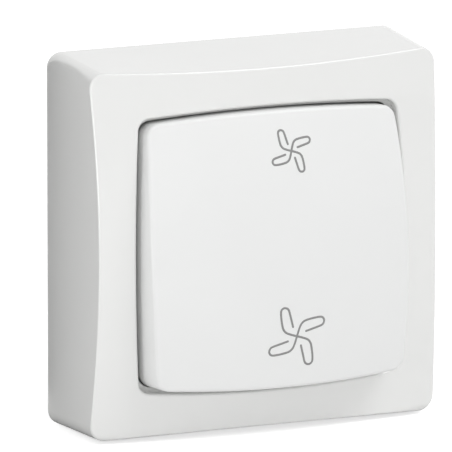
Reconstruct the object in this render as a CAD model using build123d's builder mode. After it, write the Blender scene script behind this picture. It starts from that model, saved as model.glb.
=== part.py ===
from build123d import *
import os
from math import cos, radians, sin, tan

# Surface-mounted two-speed ventilation switch, in millimetres
# X runs to the right, Z runs up and the wall is the plane Y = 0
# Depths are measured from the wall towards the room, along -Y

# Front cover
cover_side = 86.0
cover_corner = 3.5
cover_wall = 2.2
wall_draft = 1.7
side_pinch = 1.1
crown_depth = 30.3
dome_radius = 249.0
ridge_round = 0.5
min_corner = 0.8
cut_overrun = 1.0
opening_half = 32.75
opening_bow = 1.4
opening_corner = 3.0
collar_wall = 1.6
collar_back = 20.0
pry_slot_width = 8.0
pry_slot_depth = 1.6

# Snap hooks of the cover and the windows that they catch in
hook_width = 8.0
hook_thickness = 1.3
hook_height = 20.0
hook_back = 6.4
hook_nose = 1.1
hook_nose_length = 2.6
hook_gap = 0.6
hook_root = 1.0
window_clearance = 0.4

# Rocker key
key_gap = 1.3
key_corner = 3.3
key_face = 37.1
key_crown_radius = 150.0
key_round = 0.9
key_wall = 1.8
key_skirt = 20.6
key_rib = 1.2
key_rib_pitch = 12.0
clip_width = 6.0
clip_thickness = 1.5
clip_nose = 0.9
clip_pitch = 16.0
clip_clearance = 0.15

# Rocking axis and the two stable positions
pivot_depth = 25.0
key_tilt = 5.4

# Key cradle
cradle_width = 28.0
cradle_height = 24.0
cradle_plate = 1.8
cradle_seat = 31.2
trunk_half_width = 8.4
trunk_half_height = 4.5
trunk_back = 22.0
boss_radius = 3.6
boss_back = 17.6
pin_radius = 1.5
pin_clearance = 0.05
pin_overhang = 0.5
bore_end = 28.0

# Detent plunger and its spring
plunger_radius = 2.0
plunger_clearance = 0.08
plunger_front = 22.0
nose_clearance = 0.2
spring_radius = 1.5
spring_wire = 0.22
spring_turns = 5
spring_seat = 0.05

# Wall base
base_clearance = 0.3
base_wall = 1.6
base_floor = 2.0
base_depth = 12.0
wall_screw_half_pitch = 30.0
wall_screw_radius = 2.1
wall_screw_slot = 8.0
wall_screw_rim = 2.2
wall_screw_rim_height = 1.0
cable_entry_width = 30.0
cable_entry_height = 7.2
cable_entry_centre = 20.8
cable_entry_corner = 2.0
plate_post_half_pitch = 30.0
plate_post_radius = 3.6
corner_post_half_pitch = 28.0
corner_post_radius = 3.0
post_rib = 1.2
post_rib_reach = 2.4
pocket_depth = 0.8
pocket_width = 17.5
pocket_height = 17.2
pocket_corner = 2.5
pocket_centre = 26.2

# Support plate and its two screws
plate_back = 16.0
plate_thickness = 1.0
plate_margin = 4.0
plate_corner = 4.0
plate_slot_radius = 1.8
plate_slot_length = 7.0
plate_notch_radius = 5.0
plate_screw_radius = 1.25
plate_screw_clearance = 0.05
plate_screw_length = 9.0
plate_head_radius = 2.9
plate_head_height = 1.6

# Housing of the mechanism and its lid
housing_back = 6.0
housing_half_width = 20.2
housing_half_height = 15.6
housing_wall = 1.6
housing_corner = 2.0
housing_clearance = 0.2
flange_lip = 1.8
flange_thickness = 1.5
partition = 1.2
trough_half_width = 8.0
trough_floor = 8.5
chamber_floor = 7.5
right_chamber_half = 5.0
lid_thickness = 2.0
ear_thickness = 2.3
ear_rim = 1.4
ear_gap = 0.5
ear_foot = 5.0
ear_mouth = 2.7
latch_width = 8.0
latch_thickness = 1.2
latch_length = 3.2
latch_nose = 0.6
latch_nose_length = 1.0
latch_clearance = 0.15
wire_hole_radius = 1.9
screw_access_radius = 2.2

# Contact strips, see-saw blade and silvered tips
strip_thickness = 0.8
strip_width = 5.0
strip_slot_clearance = 0.2
strip_inner_end = 2.6
strip_slot_reach = 2.4
fulcrum_depth = 13.0
fulcrum_width = 5.0
fulcrum_clearance = 0.12
blade_thickness = 1.0
blade_width = 5.0
blade_end_room = 6.6
blade_overhang = 1.8
blade_tilt = 8.1
tip_radius = 1.3
tip_thickness = 1.0
tip_shank = 0.75
tip_shank_clearance = 0.05
contact_clearance = 0.08

# Clamps and their screws
clamp_end_room = 1.1
clamp_length = 6.0
clamp_height = 7.0
clamp_side = 0.9
clamp_back = 1.0
clamp_front = 1.5
wire_room = 3.2
terminal_screw_radius = 1.6
terminal_screw_clearance = 0.05
terminal_screw_tip = 10.4
terminal_head_radius = 2.5
terminal_head_height = 1.8
terminal_head_back = 15.6
driver_slot = 0.8
driver_slot_depth = 0.9

# Sizes that follow from the ones above
plate_front = plate_back + plate_thickness
plate_half_side = plate_post_half_pitch + plate_margin
housing_front = plate_front + flange_thickness
lid_front = housing_front + lid_thickness
key_half = opening_half - key_gap
strip_front = trough_floor + strip_thickness
clamp_front_wall = strip_front + wire_room
clamp_top = clamp_front_wall + clamp_front
blade_arm = housing_half_height - blade_end_room
nose_depth = fulcrum_depth + blade_thickness + nose_clearance
tip_reach = (blade_arm + tip_radius) * sin(radians(blade_tilt))
fixed_tip_front = fulcrum_depth - tip_thickness * cos(radians(blade_tilt)) - tip_reach - contact_clearance
wire_depth = strip_front + wire_room / 2
inner_half_width = housing_half_width - housing_wall
inner_half_height = housing_half_height - housing_wall
clamp_centre = inner_half_width - clamp_end_room - clamp_length / 2
ear_inner = trunk_half_width + ear_gap

# Planes of the pieces that rock, at rest with the key's top pressed in
rocking_plane = Plane(
    origin=(0, -pivot_depth, 0),
    x_dir=(1, 0, 0),
    z_dir=(0, -cos(radians(key_tilt)), sin(radians(key_tilt))),
)
blade_plane = Plane(
    origin=(0, -fulcrum_depth, 0),
    x_dir=(1, 0, 0),
    z_dir=(0, -cos(radians(blade_tilt)), -sin(radians(blade_tilt))),
)


def at_depth(depth):
    """Plane parallel to the wall, facing the room."""
    return Plane.XZ.offset(depth)


def on_key(depth):
    """Plane of a rocking piece, at the depth it has when the key stands level."""
    return rocking_plane.offset(depth - pivot_depth)


def bowed_square(half, bow, corner):
    """Rounded square whose sides bow outwards, or inwards where bow is negative."""
    reach = half - bow
    corners = [(reach, -reach), (reach, reach), (-reach, reach), (-reach, -reach)]
    middles = [(half, 0), (0, half), (-half, 0), (0, -half)]
    with BuildSketch() as outline:
        with BuildLine():
            for side, middle in enumerate(middles):
                start = corners[side]
                end = corners[(side + 1) % 4]
                if bow:
                    ThreePointArc(start, middle, end)
                else:
                    Line(start, end)
        make_face()
        fillet(outline.vertices(), corner)
    return outline.sketch


def wall_section(inset, depth):
    """Outline of the cover's walls at a depth, drawn in by inset."""
    pinch = side_pinch * depth / crown_depth
    half = cover_side / 2 - inset - depth * tan(radians(wall_draft)) - pinch
    return bowed_square(half, -pinch, max(cover_corner - inset, min_corner))


def drafted_block(inset, back, front):
    """Solid between two depths, bounded by the cover's walls drawn in by inset."""
    with BuildPart() as block:
        with BuildSketch(at_depth(back)):
            add(wall_section(inset, back))
        with BuildSketch(at_depth(front)):
            add(wall_section(inset, front))
        loft()
    return block.part


def opening_outline(growth):
    """Barrel-shaped outline of the cover's opening, grown all round."""
    return bowed_square(opening_half + growth, opening_bow, opening_corner + growth)


def key_outline(inset):
    """Barrel-shaped outline of the key, drawn in all round."""
    return bowed_square(key_half - inset, opening_bow, max(key_corner - inset, min_corner))


# Front cover: one moulding with drafted walls, a domed front and a barrel-shaped opening
with BuildPart() as cover_cavity:
    add(drafted_block(cover_wall, 0, crown_depth + cover_wall))
    with Locations((0, dome_radius - crown_depth, 0)):
        Sphere(dome_radius - cover_wall, mode=Mode.INTERSECT)
    with BuildSketch(at_depth(collar_back)):
        add(opening_outline(collar_wall))
    extrude(amount=crown_depth, mode=Mode.SUBTRACT)

# Inner face of the base's wall where the hooks pass it
base_inset = cover_wall + base_clearance
base_inner_half = cover_side / 2 - base_inset - base_wall - base_depth * tan(radians(wall_draft)) - side_pinch
window_front = hook_back + hook_nose_length + window_clearance
hook_outer = base_inner_half - hook_gap
hook_inner = hook_outer - hook_thickness
hook_end = hook_height + hook_width / 2
hook_front = crown_depth - (hook_outer**2 + hook_end**2) / dome_radius / 2 - hook_root

with BuildPart() as front_cover:
    add(drafted_block(0, 0, crown_depth + cover_wall))
    with Locations((0, dome_radius - crown_depth, 0)):
        Sphere(dome_radius, mode=Mode.INTERSECT)
    add(cover_cavity.part, mode=Mode.SUBTRACT)
    with BuildSketch(at_depth(collar_back - cut_overrun)):
        add(opening_outline(0))
    extrude(amount=crown_depth, mode=Mode.SUBTRACT)
    outer_skin = front_cover.faces().filter_by(GeomType.SPHERE).sort_by(Axis.Y)[0]
    fillet(outer_skin.edges(), ridge_round)
    for side in (-1, 1):
        for height in (-hook_height, hook_height):
            with BuildSketch(Plane.XY.offset(height - hook_width / 2)):
                with BuildLine():
                    Polyline(
                        (side * hook_inner, -hook_front),
                        (side * hook_inner, -hook_back),
                        (side * hook_outer, -hook_back),
                        (side * (hook_outer + hook_gap + hook_nose), -hook_back - hook_nose_length),
                        (side * hook_outer, -hook_back - hook_nose_length),
                        (side * hook_outer, -hook_front),
                        close=True,
                    )
                make_face()
            extrude(amount=hook_width)
    with BuildSketch(Plane.XY.offset(-cover_side / 2)):
        with Locations((0, -pry_slot_depth / 2)):
            Rectangle(pry_slot_width, pry_slot_depth)
    extrude(amount=2 * cover_wall, mode=Mode.SUBTRACT)
front_cover.part.label = "front_cover"

# Wall base: tray that the cover snaps over, with slots for the wall screws and the cable's way in
with BuildPart() as wall_base:
    add(drafted_block(base_inset, 0, base_depth))
    add(drafted_block(base_inset + base_wall, base_floor, base_depth), mode=Mode.SUBTRACT)
    with BuildSketch(at_depth(base_floor)):
        with Locations((-plate_post_half_pitch, 0), (plate_post_half_pitch, 0)):
            Circle(plate_post_radius)
        with GridLocations(2 * corner_post_half_pitch, 2 * corner_post_half_pitch, 2, 2):
            Circle(corner_post_radius)
        with Locations((-plate_post_half_pitch, 0), (plate_post_half_pitch, 0)):
            Rectangle(post_rib, 2 * (plate_post_radius + post_rib_reach))
    extrude(amount=plate_back - base_floor)
    with BuildSketch(at_depth(base_floor)):
        with Locations((0, -wall_screw_half_pitch), (0, wall_screw_half_pitch)):
            SlotOverall(
                wall_screw_slot + 2 * wall_screw_rim, 2 * (wall_screw_radius + wall_screw_rim), rotation=90
            )
    extrude(amount=wall_screw_rim_height)
    with BuildSketch(at_depth(0)):
        with Locations((0, -wall_screw_half_pitch), (0, wall_screw_half_pitch)):
            SlotOverall(wall_screw_slot, 2 * wall_screw_radius, rotation=90)
        with Locations((0, cable_entry_centre)):
            RectangleRounded(cable_entry_width, cable_entry_height, cable_entry_corner)
    extrude(amount=base_floor + wall_screw_rim_height, mode=Mode.SUBTRACT)
    with BuildSketch(at_depth(plate_front - plate_screw_length)):
        with Locations((-plate_post_half_pitch, 0), (plate_post_half_pitch, 0)):
            Circle(plate_screw_radius + plate_screw_clearance)
    extrude(amount=plate_screw_length, mode=Mode.SUBTRACT)
    for side in (-1, 1):
        with BuildSketch(Plane.YZ.offset(side * (base_inner_half + base_wall))):
            with Locations(
                (-(window_front + hook_back) / 2, -hook_height), (-(window_front + hook_back) / 2, hook_height)
            ):
                Rectangle(window_front - hook_back, hook_width + 2 * window_clearance)
        extrude(amount=2 * base_wall, both=True, mode=Mode.SUBTRACT)
    with BuildSketch(at_depth(0)):
        with Locations((-pocket_centre, 0), (pocket_centre, 0)):
            with GridLocations(0, pocket_height + post_rib, 1, 3):
                RectangleRounded(pocket_width, pocket_height, pocket_corner)
    extrude(amount=pocket_depth, mode=Mode.SUBTRACT)
wall_base.part.label = "wall_base"

# Support plate: steel stamping that carries the mechanism on the posts of the base
with BuildPart() as support_plate:
    with BuildSketch(at_depth(plate_back)):
        RectangleRounded(2 * plate_half_side, 2 * plate_half_side, plate_corner)
        Rectangle(
            2 * (housing_half_width + housing_clearance),
            2 * (housing_half_height + housing_clearance),
            mode=Mode.SUBTRACT,
        )
        with Locations((-plate_post_half_pitch, 0), (plate_post_half_pitch, 0)):
            SlotOverall(plate_slot_length, 2 * plate_slot_radius, rotation=90, mode=Mode.SUBTRACT)
        with Locations((0, -wall_screw_half_pitch), (0, wall_screw_half_pitch)):
            Circle(plate_notch_radius, mode=Mode.SUBTRACT)
        with Locations((0, -plate_half_side), (0, plate_half_side)):
            Rectangle(
                2 * plate_notch_radius, 2 * (plate_half_side - wall_screw_half_pitch), mode=Mode.SUBTRACT
            )
    extrude(amount=plate_thickness)
support_plate.part.label = "support_plate"

# Two screws that hold the support plate on the base
with BuildPart() as plate_screws:
    with BuildSketch(at_depth(plate_front)):
        with Locations((-plate_post_half_pitch, 0), (plate_post_half_pitch, 0)):
            Circle(plate_head_radius)
    extrude(amount=plate_head_height)
    with BuildSketch(at_depth(plate_front)):
        with Locations((-plate_post_half_pitch, 0), (plate_post_half_pitch, 0)):
            Circle(plate_screw_radius)
    extrude(amount=-(plate_screw_length - plate_screw_clearance))
    with BuildSketch(at_depth(plate_front + plate_head_height)):
        with Locations((-plate_post_half_pitch, 0), (plate_post_half_pitch, 0)):
            Rectangle(2 * plate_head_radius + cut_overrun, driver_slot)
    extrude(amount=-driver_slot_depth, mode=Mode.SUBTRACT)
plate_screws.part.label = "plate_screws"

# Housing of the mechanism: a trough for the see-saw and a chamber for each clamp
chamber_centre = (inner_half_width + trough_half_width + partition) / 2
chamber_width = inner_half_width - trough_half_width - partition
left_height = inner_half_height - partition / 2
strip_slot = strip_width + 2 * strip_slot_clearance
with BuildPart() as mechanism_housing:
    with BuildSketch(at_depth(housing_back)):
        RectangleRounded(2 * housing_half_width, 2 * housing_half_height, housing_corner)
    extrude(amount=housing_front - housing_back)
    with BuildSketch(at_depth(plate_front)):
        RectangleRounded(
            2 * (housing_half_width + flange_lip), 2 * (housing_half_height + flange_lip), housing_corner
        )
    extrude(amount=flange_thickness)
    with BuildSketch(at_depth(trough_floor)):
        Rectangle(2 * trough_half_width, 2 * inner_half_height)
    extrude(amount=housing_front - trough_floor, mode=Mode.SUBTRACT)
    with BuildSketch(at_depth(chamber_floor)):
        with Locations(
            (-chamber_centre, (left_height + partition) / 2),
            (-chamber_centre, -(left_height + partition) / 2),
        ):
            Rectangle(chamber_width, left_height)
        with Locations((chamber_centre, 0)):
            Rectangle(chamber_width, 2 * right_chamber_half)
    extrude(amount=housing_front - chamber_floor, mode=Mode.SUBTRACT)
    with BuildSketch(at_depth(trough_floor)):
        with Locations((-chamber_centre, blade_arm), (-chamber_centre, -blade_arm)):
            Rectangle(chamber_width + 2 * strip_slot_reach, strip_slot)
        with Locations((chamber_centre, 0)):
            Rectangle(chamber_width + 2 * strip_slot_reach, strip_slot)
    extrude(amount=strip_thickness + strip_slot_clearance, mode=Mode.SUBTRACT)
    corner_pocket = inner_half_height - right_chamber_half - partition
    with BuildSketch(at_depth(chamber_floor)):
        with Locations(
            (chamber_centre, inner_half_height - corner_pocket / 2),
            (chamber_centre, corner_pocket / 2 - inner_half_height),
        ):
            Rectangle(chamber_width, corner_pocket)
    extrude(amount=housing_front - chamber_floor, mode=Mode.SUBTRACT)
    with BuildSketch(Plane.YZ.offset(-housing_half_width)):
        with Locations((-wire_depth, -blade_arm), (-wire_depth, blade_arm)):
            Circle(wire_hole_radius)
    extrude(amount=housing_wall, mode=Mode.SUBTRACT)
    with BuildSketch(Plane.YZ.offset(housing_half_width - housing_wall)):
        with Locations((-wire_depth, 0)):
            Circle(wire_hole_radius)
    extrude(amount=housing_wall, mode=Mode.SUBTRACT)
    latch_window = latch_nose_length + 2 * latch_clearance
    with BuildSketch(at_depth(housing_front - latch_length - latch_clearance)):
        Rectangle(latch_width + 2 * latch_clearance, 2 * housing_half_height)
    extrude(amount=latch_window, mode=Mode.SUBTRACT)
mechanism_housing.part.label = "mechanism_housing"

# Lid of the housing, with two ears that carry the key's pivot pins
lid_slot_height = 2 * (boss_radius + (pivot_depth - lid_front) * sin(radians(key_tilt)) + 2 * ear_gap)
clamp_places = [(-clamp_centre, -blade_arm), (-clamp_centre, blade_arm), (clamp_centre, 0)]
with BuildPart() as mechanism_lid:
    with BuildSketch(at_depth(housing_front)):
        RectangleRounded(
            2 * (housing_half_width + flange_lip), 2 * (housing_half_height + flange_lip), housing_corner
        )
        RectangleRounded(
            2 * (boss_radius + ear_gap), lid_slot_height, boss_radius, mode=Mode.SUBTRACT
        )
        with Locations(*clamp_places):
            Circle(screw_access_radius, mode=Mode.SUBTRACT)
    extrude(amount=lid_thickness)
    ear_radius = pin_radius + ear_rim
    with BuildSketch(Plane.YZ.offset(-ear_inner - ear_thickness)):
        with BuildLine():
            Polyline(
                (-pivot_depth, ear_radius),
                (-lid_front, ear_foot),
                (-lid_front, -ear_foot),
                (-pivot_depth, -ear_radius),
            )
            ThreePointArc(
                (-pivot_depth, -ear_radius), (-pivot_depth - ear_radius, 0), (-pivot_depth, ear_radius)
            )
        make_face()
        with Locations((-pivot_depth, 0)):
            Circle(pin_radius + pin_clearance, mode=Mode.SUBTRACT)
        with Locations((-pivot_depth - ear_radius / 2, 0)):
            Rectangle(ear_radius, ear_mouth, mode=Mode.SUBTRACT)
    extrude(amount=ear_thickness)
    mirror(about=Plane.YZ)
    with BuildSketch(at_depth(housing_front)):
        with Locations(
            (0, inner_half_height - latch_clearance - latch_thickness / 2),
            (0, latch_clearance + latch_thickness / 2 - inner_half_height),
        ):
            Rectangle(latch_width, latch_thickness)
    extrude(amount=-latch_length)
    latch_face = inner_half_height - latch_clearance
    with BuildSketch(Plane.YZ.offset(-latch_width / 2)):
        with BuildLine():
            Polyline(
                (latch_length - housing_front, latch_face),
                (latch_length - latch_nose_length - housing_front, latch_face),
                (latch_length - latch_nose_length - housing_front, latch_face + latch_clearance + latch_nose),
                close=True,
            )
        make_face()
        mirror(about=Plane.XZ)
    extrude(amount=latch_width)
mechanism_lid.part.label = "mechanism_lid"


def contact_strip(height, toward):
    """Flat strip from a fixed tip to its clamp, on the left or right of the trough."""
    inner_end = -toward * strip_inner_end
    outer_end = toward * (clamp_centre + clamp_length / 2)
    with BuildPart() as strip:
        with BuildSketch(at_depth(trough_floor)):
            with Locations(((inner_end + outer_end) / 2, height)):
                Rectangle(abs(outer_end - inner_end), strip_width)
            with Locations((0, height)):
                Circle(tip_shank + tip_shank_clearance, mode=Mode.SUBTRACT)
        extrude(amount=strip_thickness)
    return strip.part


# The key's top pressed in swings the nose down, so the lower tip carries the low speed
low_speed_strip = contact_strip(-blade_arm, -1)
low_speed_strip.label = "low_speed_strip"
high_speed_strip = contact_strip(blade_arm, -1)
high_speed_strip.label = "high_speed_strip"

# Common strip, with an upright fulcrum for the see-saw
with BuildPart() as common_strip:
    common_outer_end = clamp_centre + clamp_length / 2
    with BuildSketch(at_depth(trough_floor)):
        with Locations(((common_outer_end - strip_inner_end) / 2, 0)):
            Rectangle(common_outer_end + strip_inner_end, strip_width)
    extrude(amount=strip_thickness)
    fulcrum_top = fulcrum_depth - fulcrum_clearance
    with BuildSketch(Plane.YZ.offset(-fulcrum_width / 2)):
        with BuildLine():
            Polyline(
                (-fulcrum_top, strip_thickness / 2),
                (-trough_floor, strip_thickness / 2),
                (-trough_floor, -strip_thickness / 2),
                (-fulcrum_top, -strip_thickness / 2),
            )
            ThreePointArc(
                (-fulcrum_top, -strip_thickness / 2),
                (-fulcrum_top - strip_thickness / 2, 0),
                (-fulcrum_top, strip_thickness / 2),
            )
        make_face()
    extrude(amount=fulcrum_width)
common_strip.part.label = "common_strip"

# Fixed contact tips, riveted to the two speed strips
with BuildPart() as fixed_contact_tips:
    with BuildSketch(at_depth(strip_front)):
        with Locations((0, -blade_arm), (0, blade_arm)):
            Circle(tip_radius)
    extrude(amount=fixed_tip_front - strip_front)
    with BuildSketch(at_depth(strip_front)):
        with Locations((0, -blade_arm), (0, blade_arm)):
            Circle(tip_shank)
    extrude(amount=-strip_thickness)
fixed_contact_tips.part.label = "fixed_contact_tips"

# See-saw contact blade, rocking on the fulcrum in a groove
groove_radius = strip_thickness / 2 + fulcrum_clearance
with BuildPart() as contact_blade:
    with BuildSketch(blade_plane):
        RectangleRounded(blade_width, 2 * (blade_arm + blade_overhang), blade_overhang)
        with Locations((0, -blade_arm), (0, blade_arm)):
            Circle(tip_shank + tip_shank_clearance, mode=Mode.SUBTRACT)
    extrude(amount=blade_thickness)
    with BuildSketch(Plane.YZ.offset(-blade_width)):
        with Locations((-fulcrum_depth, 0)):
            Circle(groove_radius + fulcrum_clearance)
    extrude(amount=2 * blade_width, mode=Mode.SUBTRACT)
contact_blade.part.label = "contact_blade"

# Moving contact tips, riveted to both ends of the blade
with BuildPart() as moving_contact_tips:
    with BuildSketch(blade_plane):
        with Locations((0, -blade_arm), (0, blade_arm)):
            Circle(tip_radius)
    extrude(amount=-tip_thickness)
    with BuildSketch(blade_plane):
        with Locations((0, -blade_arm), (0, blade_arm)):
            Circle(tip_shank)
    extrude(amount=blade_thickness)
moving_contact_tips.part.label = "moving_contact_tips"


def wire_clamp(place):
    """Bent steel cage round a strip's end, with a threaded hole in its front wall."""
    across, height = place
    with BuildPart() as clamp:
        with BuildSketch(Plane.YZ.offset(across - clamp_length / 2)):
            with Locations((-(trough_floor - clamp_back + clamp_top) / 2, height)):
                Rectangle(clamp_top - trough_floor + clamp_back, clamp_height)
            with Locations((-(trough_floor + clamp_front_wall) / 2, height)):
                Rectangle(
                    clamp_front_wall - trough_floor, clamp_height - 2 * clamp_side, mode=Mode.SUBTRACT
                )
        extrude(amount=clamp_length)
        with BuildSketch(at_depth(clamp_front_wall)):
            with Locations(place):
                Circle(terminal_screw_radius + terminal_screw_clearance)
        extrude(amount=clamp_front, mode=Mode.SUBTRACT)
    return clamp.part


low_speed_clamp = wire_clamp(clamp_places[0])
low_speed_clamp.label = "low_speed_clamp"
high_speed_clamp = wire_clamp(clamp_places[1])
high_speed_clamp.label = "high_speed_clamp"
common_clamp = wire_clamp(clamp_places[2])
common_clamp.label = "common_clamp"

# Three captive screws of the clamps
with BuildPart() as terminal_screws:
    with BuildSketch(at_depth(terminal_screw_tip)):
        with Locations(*clamp_places):
            Circle(terminal_screw_radius)
    extrude(amount=terminal_head_back - terminal_screw_tip)
    with BuildSketch(at_depth(terminal_head_back)):
        with Locations(*clamp_places):
            Circle(terminal_head_radius)
    extrude(amount=terminal_head_height)
    with BuildSketch(at_depth(terminal_head_back + terminal_head_height)):
        with Locations(*clamp_places):
            Rectangle(2 * terminal_head_radius + cut_overrun, driver_slot)
    extrude(amount=-driver_slot_depth, mode=Mode.SUBTRACT)
terminal_screws.part.label = "terminal_screws"

# Key cradle: plate for the key, trunk with two pivot pins and a boss for the plunger
cradle_plate_back = cradle_seat - cradle_plate
with BuildPart() as key_cradle:
    with BuildSketch(on_key(cradle_plate_back)):
        RectangleRounded(cradle_width, cradle_height, housing_corner)
    extrude(amount=cradle_plate)
    with BuildSketch(on_key(trunk_back)):
        Rectangle(2 * trunk_half_width, 2 * trunk_half_height)
    extrude(amount=cradle_plate_back - trunk_back)
    with BuildSketch(on_key(boss_back)):
        Circle(boss_radius)
    extrude(amount=trunk_back - boss_back)
    with BuildSketch(Plane.YZ.offset(-ear_inner - ear_thickness - pin_overhang)):
        with Locations((-pivot_depth, 0)):
            Circle(pin_radius)
    extrude(amount=2 * (ear_inner + ear_thickness + pin_overhang))
    with BuildSketch(on_key(boss_back)):
        Circle(plunger_radius + plunger_clearance)
    extrude(amount=bore_end - boss_back, mode=Mode.SUBTRACT)
key_cradle.part.label = "key_cradle"

# Detent plunger: a pin with a round nose that tips the see-saw over
with BuildPart() as detent_plunger:
    with BuildSketch(on_key(nose_depth + plunger_radius)):
        Circle(plunger_radius)
    extrude(amount=plunger_front - nose_depth - plunger_radius)
    with Locations(on_key(nose_depth + plunger_radius).location):
        Sphere(plunger_radius)
detent_plunger.part.label = "detent_plunger"

# Plunger spring, a coil between the plunger and the end of its bore
spring_length = bore_end - plunger_front - 2 * (spring_wire + spring_seat)
with BuildPart() as plunger_spring:
    with BuildLine() as coil:
        Helix(
            pitch=spring_length / spring_turns,
            height=spring_length,
            radius=spring_radius,
            center=on_key(plunger_front + spring_wire + spring_seat).origin,
            direction=rocking_plane.z_dir,
        )
    with BuildSketch(Plane(origin=coil.line @ 0, z_dir=coil.line % 0)):
        Circle(spring_wire)
    sweep(is_frenet=True)
plunger_spring.part.label = "plunger_spring"

# Rocker key: a domed cap with a skirt inside the opening, ribs and clips for the cradle
with BuildPart() as key_cavity:
    with BuildSketch(on_key(key_skirt)):
        add(key_outline(key_wall))
    extrude(amount=key_face - key_skirt)
    with Locations(on_key(key_face - key_crown_radius).location):
        Sphere(key_crown_radius - key_wall, mode=Mode.INTERSECT)
    with BuildSketch(on_key(cradle_seat)):
        with GridLocations(key_rib_pitch, 0, 4, 1):
            Rectangle(key_rib, 2 * key_half)
        with GridLocations(0, key_rib_pitch, 1, 4):
            Rectangle(2 * key_half, key_rib)
    extrude(amount=key_face - cradle_seat, mode=Mode.SUBTRACT)

clip_inner = cradle_height / 2 + clip_clearance
clip_catch = cradle_plate_back - clip_clearance
clip_tip = clip_catch - 2 * clip_nose
with BuildPart() as rocker_key:
    with BuildSketch(on_key(key_skirt)):
        add(key_outline(0))
    extrude(amount=key_face - key_skirt)
    with Locations(on_key(key_face - key_crown_radius).location):
        Sphere(key_crown_radius, mode=Mode.INTERSECT)
    key_skin = rocker_key.faces().filter_by(GeomType.SPHERE)
    fillet(key_skin.edges(), key_round)
    add(key_cavity.part, mode=Mode.SUBTRACT)
    with BuildSketch(on_key(clip_tip)):
        for side in (-1, 1):
            with Locations((0, side * (clip_inner + clip_thickness / 2))):
                with GridLocations(clip_pitch, 0, 2, 1):
                    Rectangle(clip_width, clip_thickness)
    extrude(amount=key_face - key_wall - clip_tip)
    with BuildSketch(on_key(clip_tip)):
        for side in (-1, 1):
            with Locations((0, side * (clip_inner + clip_thickness / 2 - clip_nose))):
                with GridLocations(clip_pitch, 0, 2, 1):
                    Rectangle(clip_width, clip_thickness)
    extrude(amount=clip_catch - clip_tip)
rocker_key.part.label = "rocker_key"

pieces = [
    front_cover.part,
    rocker_key.part,
    wall_base.part,
    support_plate.part,
    plate_screws.part,
    mechanism_housing.part,
    mechanism_lid.part,
    key_cradle.part,
    detent_plunger.part,
    plunger_spring.part,
    contact_blade.part,
    moving_contact_tips.part,
    common_strip.part,
    low_speed_strip,
    high_speed_strip,
    fixed_contact_tips.part,
    low_speed_clamp,
    high_speed_clamp,
    common_clamp,
    terminal_screws.part,
]
os.makedirs("parts", exist_ok=True)
for piece in pieces:
    export_step(piece, f"parts/{piece.label}.step")
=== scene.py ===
# %% [markdown]
# # Dressing a two-speed ventilation switch
# The solids of this switch already stand in their real places, in metres, with the wall as the
# plane Y = 0, the room towards -Y and Z up. This lesson gives them what solids lack: the narrow
# ledge in the opening, the printed fan signs on the key, real screw threads, a wound spring, and a
# finish for every moulding and metal. The first cell fetches the solids, because everything that
# follows is set against them.

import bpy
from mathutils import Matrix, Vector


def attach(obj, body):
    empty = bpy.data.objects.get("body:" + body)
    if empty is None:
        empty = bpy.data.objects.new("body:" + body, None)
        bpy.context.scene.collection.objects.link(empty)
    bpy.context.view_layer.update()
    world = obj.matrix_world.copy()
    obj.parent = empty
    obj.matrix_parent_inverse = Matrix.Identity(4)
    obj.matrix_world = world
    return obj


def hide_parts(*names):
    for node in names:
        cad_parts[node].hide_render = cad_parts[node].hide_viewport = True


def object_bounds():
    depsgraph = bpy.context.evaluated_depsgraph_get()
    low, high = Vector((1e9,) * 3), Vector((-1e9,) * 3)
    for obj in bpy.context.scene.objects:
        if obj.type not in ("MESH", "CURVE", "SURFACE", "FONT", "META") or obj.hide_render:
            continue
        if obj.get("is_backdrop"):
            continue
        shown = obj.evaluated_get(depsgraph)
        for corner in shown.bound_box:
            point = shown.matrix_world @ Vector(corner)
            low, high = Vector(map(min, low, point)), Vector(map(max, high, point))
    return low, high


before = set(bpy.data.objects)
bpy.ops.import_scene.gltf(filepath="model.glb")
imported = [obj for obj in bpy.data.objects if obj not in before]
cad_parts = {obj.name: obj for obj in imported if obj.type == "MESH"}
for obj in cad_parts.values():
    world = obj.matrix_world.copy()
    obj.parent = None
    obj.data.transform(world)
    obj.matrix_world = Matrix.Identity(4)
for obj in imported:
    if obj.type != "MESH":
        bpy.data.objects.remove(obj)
solid_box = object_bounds()

# %% [markdown]
# Blender's own module makes the pieces, and the two boxes are printed side by side at the
# end. All sizes of the switch are written in millimetres, as a maker thinks of them, so one
# helper turns them into metres.

# %% Modules and units
from math import atan2, cos, pi, radians, sin, sqrt, tau

import bmesh
import bpy
from mathutils import Vector

MM = 0.001
scene = bpy.context.scene
scene.view_settings.view_transform = "Standard"


def metres(*lengths):
    """A vector in metres from lengths in millimetres."""
    return Vector(lengths) * MM


# %% [markdown]
# ## The camera
# The picture was taken with a long lens from the left and a little above, so upright edges stay
# upright and the square hardly narrows. The camera circles the middle of the switch's back at
# one distance, and looks along the line to it. A tiny shift finishes the framing.

# %% Camera from the left and above
camera_turn = radians(22.98)
camera_rise = radians(12.13)
camera_distance = 2.429
towards_camera = Vector(
    (-sin(camera_turn) * cos(camera_rise), -cos(camera_turn) * cos(camera_rise), sin(camera_rise))
)
camera_data = bpy.data.cameras.new("long_lens")
camera_data.sensor_width = 36.0
camera_data.lens = 850.3
camera_data.shift_x = 0.0079
camera_data.shift_y = -0.0048
camera = bpy.data.objects.new("camera", camera_data)
camera.location = towards_camera * camera_distance
camera.rotation_euler = towards_camera.to_track_quat("Z", "Y").to_euler()
scene.collection.objects.link(camera)
scene.camera = camera
print("camera at", [round(v, 3) for v in camera.location])

# %% [markdown]
# ## Building node trees
# Materials, the studio and the pieces that follow a rule are all node trees. Four helpers keep
# the cells short: one adds a node and sets or links its inputs, one does the same for a sum, one
# starts a group with its sockets, and one starts a material. An input is set by its name or,
# where names repeat, by its number.


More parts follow.
